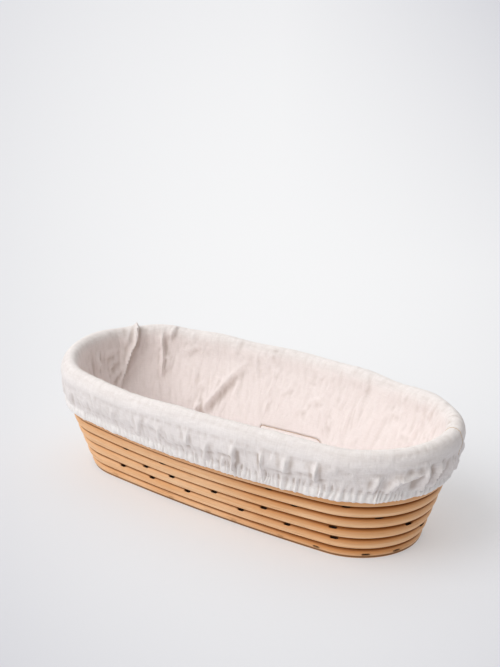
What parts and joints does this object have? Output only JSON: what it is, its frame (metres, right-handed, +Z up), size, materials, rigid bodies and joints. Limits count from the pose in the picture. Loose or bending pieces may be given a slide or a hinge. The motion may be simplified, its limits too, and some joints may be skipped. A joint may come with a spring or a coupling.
{
  "type": "proofing basket",
  "caption": "Oval coiled-cane proofing basket with flared stapled walls and a removable gathered cloth liner that folds over the rim, for shaping and proofing bread dough.",
  "frame": {"origin": "on the surface that the basket stands on, under the middle of the basket", "axes": "+X along the basket's length, +Y across to the long side where the rows of cane step up, +Z up"},
  "size_m": [0.346, 0.1648, 0.0872],
  "materials": {
    "cane": "peeled natural rattan, lightly sanded, satin",
    "staple_wire": "dark drawn wire",
    "cloth": "undyed plain-weave linen and cotton, matte",
    "elastic": "woven-covered flat elastic, matte"
  },
  "bodies": {
    "basket": {"floor_core": "cane", "floor_cane": "cane", "wall_cane_lower": "cane", "wall_cane_upper": "cane", "staple_row1_01": "staple_wire", "staple_row1_02": "staple_wire", "staple_row1_03": "staple_wire", "staple_row1_04": "staple_wire", "staple_row1_05": "staple_wire", "staple_row1_06": "staple_wire", "staple_row1_07": "staple_wire", "staple_row1_08": "staple_wire", "staple_row1_09": "staple_wire", "staple_row1_10": "staple_wire", "staple_row1_11": "staple_wire", "staple_row1_12": "staple_wire", "staple_row1_13": "staple_wire", "staple_row2_01": "staple_wire", "staple_row2_02": "staple_wire", "staple_row2_03": "staple_wire", "staple_row2_04": "staple_wire", "staple_row2_05": "staple_wire", "staple_row2_06": "staple_wire", "staple_row2_07": "staple_wire", "staple_row2_08": "staple_wire", "staple_row2_09": "staple_wire", "staple_row2_10": "staple_wire", "staple_row2_11": "staple_wire", "staple_row2_12": "staple_wire", "staple_row2_13": "staple_wire", "staple_row2_14": "staple_wire", "staple_row3_01": "staple_wire", "staple_row3_02": "staple_wire", "staple_row3_03": "staple_wire", "staple_row3_04": "staple_wire", "staple_row3_05": "staple_wire", "staple_row3_06": "staple_wire", "staple_row3_07": "staple_wire", "staple_row3_08": "staple_wire", "staple_row3_09": "staple_wire", "staple_row3_10": "staple_wire", "staple_row3_11": "staple_wire", "staple_row3_12": "staple_wire", "staple_row4_01": "staple_wire", "staple_row4_02": "staple_wire", "staple_row4_03": "staple_wire", "staple_row4_04": "staple_wire", "staple_row4_05": "staple_wire", "staple_row4_06": "staple_wire", "staple_row4_07": "staple_wire", "staple_row4_08": "staple_wire", "staple_row5_01": "staple_wire", "staple_row5_02": "staple_wire", "staple_row5_03": "staple_wire", "staple_row5_04": "staple_wire"},
    "liner": {"liner_floor_panel": "cloth", "liner_band": "cloth", "hem_elastic": "elastic"}
  },
  "joints": [
    {"name": "liner_lift", "type": "slide", "parent": "basket", "child": "liner", "axis": [0, 0, 1], "range_m": [0, 0.12], "deforming": ["liner_band", "hem_elastic"]}
  ]
}
